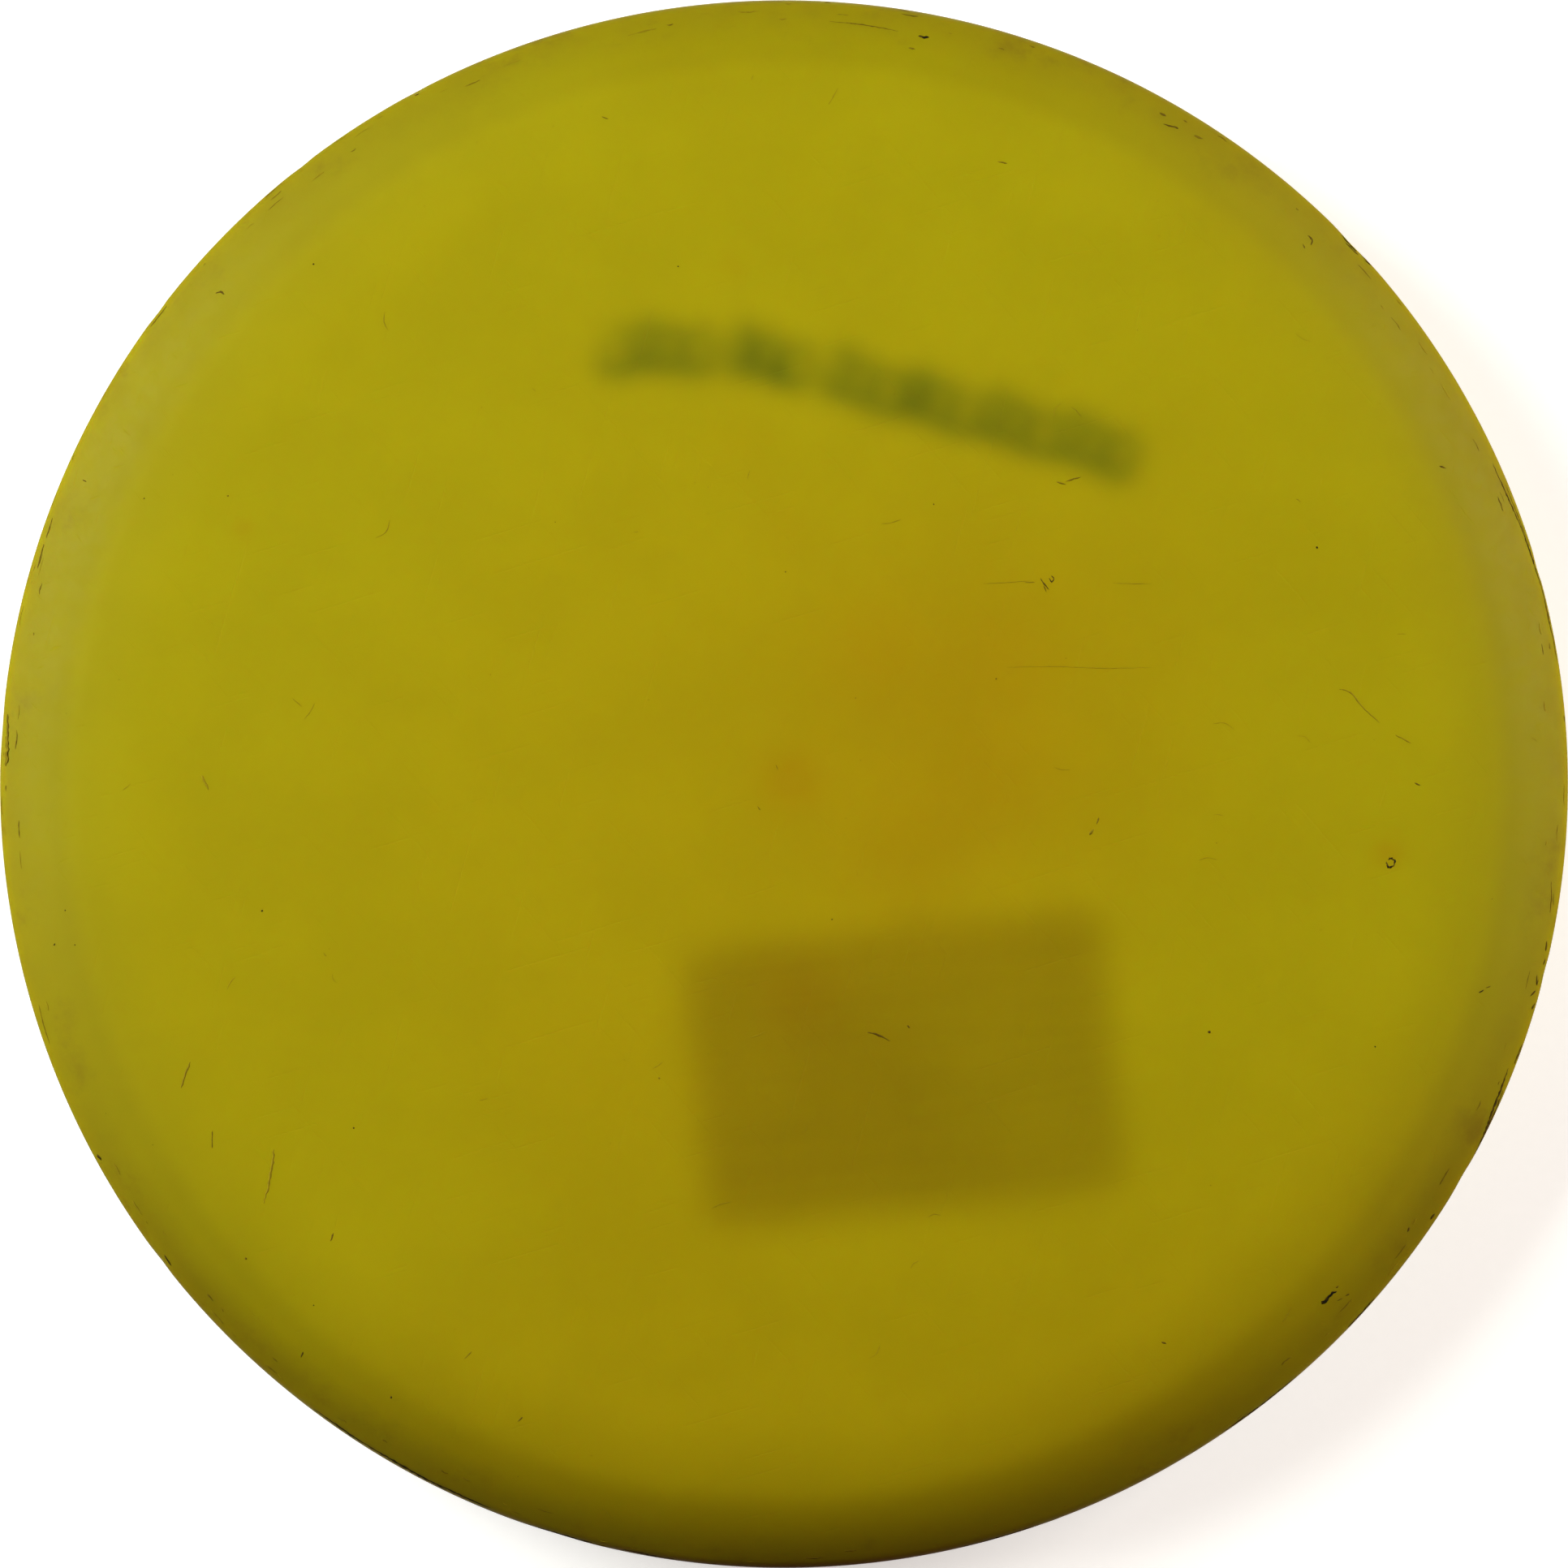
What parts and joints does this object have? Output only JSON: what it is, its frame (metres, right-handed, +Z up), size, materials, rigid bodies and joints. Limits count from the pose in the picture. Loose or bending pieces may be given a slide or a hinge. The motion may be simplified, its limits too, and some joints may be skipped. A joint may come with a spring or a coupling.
{
  "type": "golf disc",
  "caption": "Round flying disc for disc golf: translucent plastic flight plate with a thick rim, and a paper label and marker scribble on the underside.",
  "frame": {"origin": "centre of the ring that the rim rests on, on the spin axis", "axes": "+Z up along the spin axis, from the rim's resting ring to the flight plate; +X and +Y are in the resting plane, with the label towards -Y"},
  "size_m": [0.212, 0.212, 0.02],
  "materials": {
    "disc_plastic": "satin translucent yellow elastomer",
    "adhesive": "clear pressure-sensitive adhesive",
    "label_paper": "brown kraft paper",
    "marker_ink": "dried blue-black permanent marker"
  },
  "bodies": {
    "root": {"disc_body": "disc_plastic", "label_adhesive": "adhesive", "id_label": "label_paper", "marker_writing": "marker_ink"}
  },
  "joints": []
}
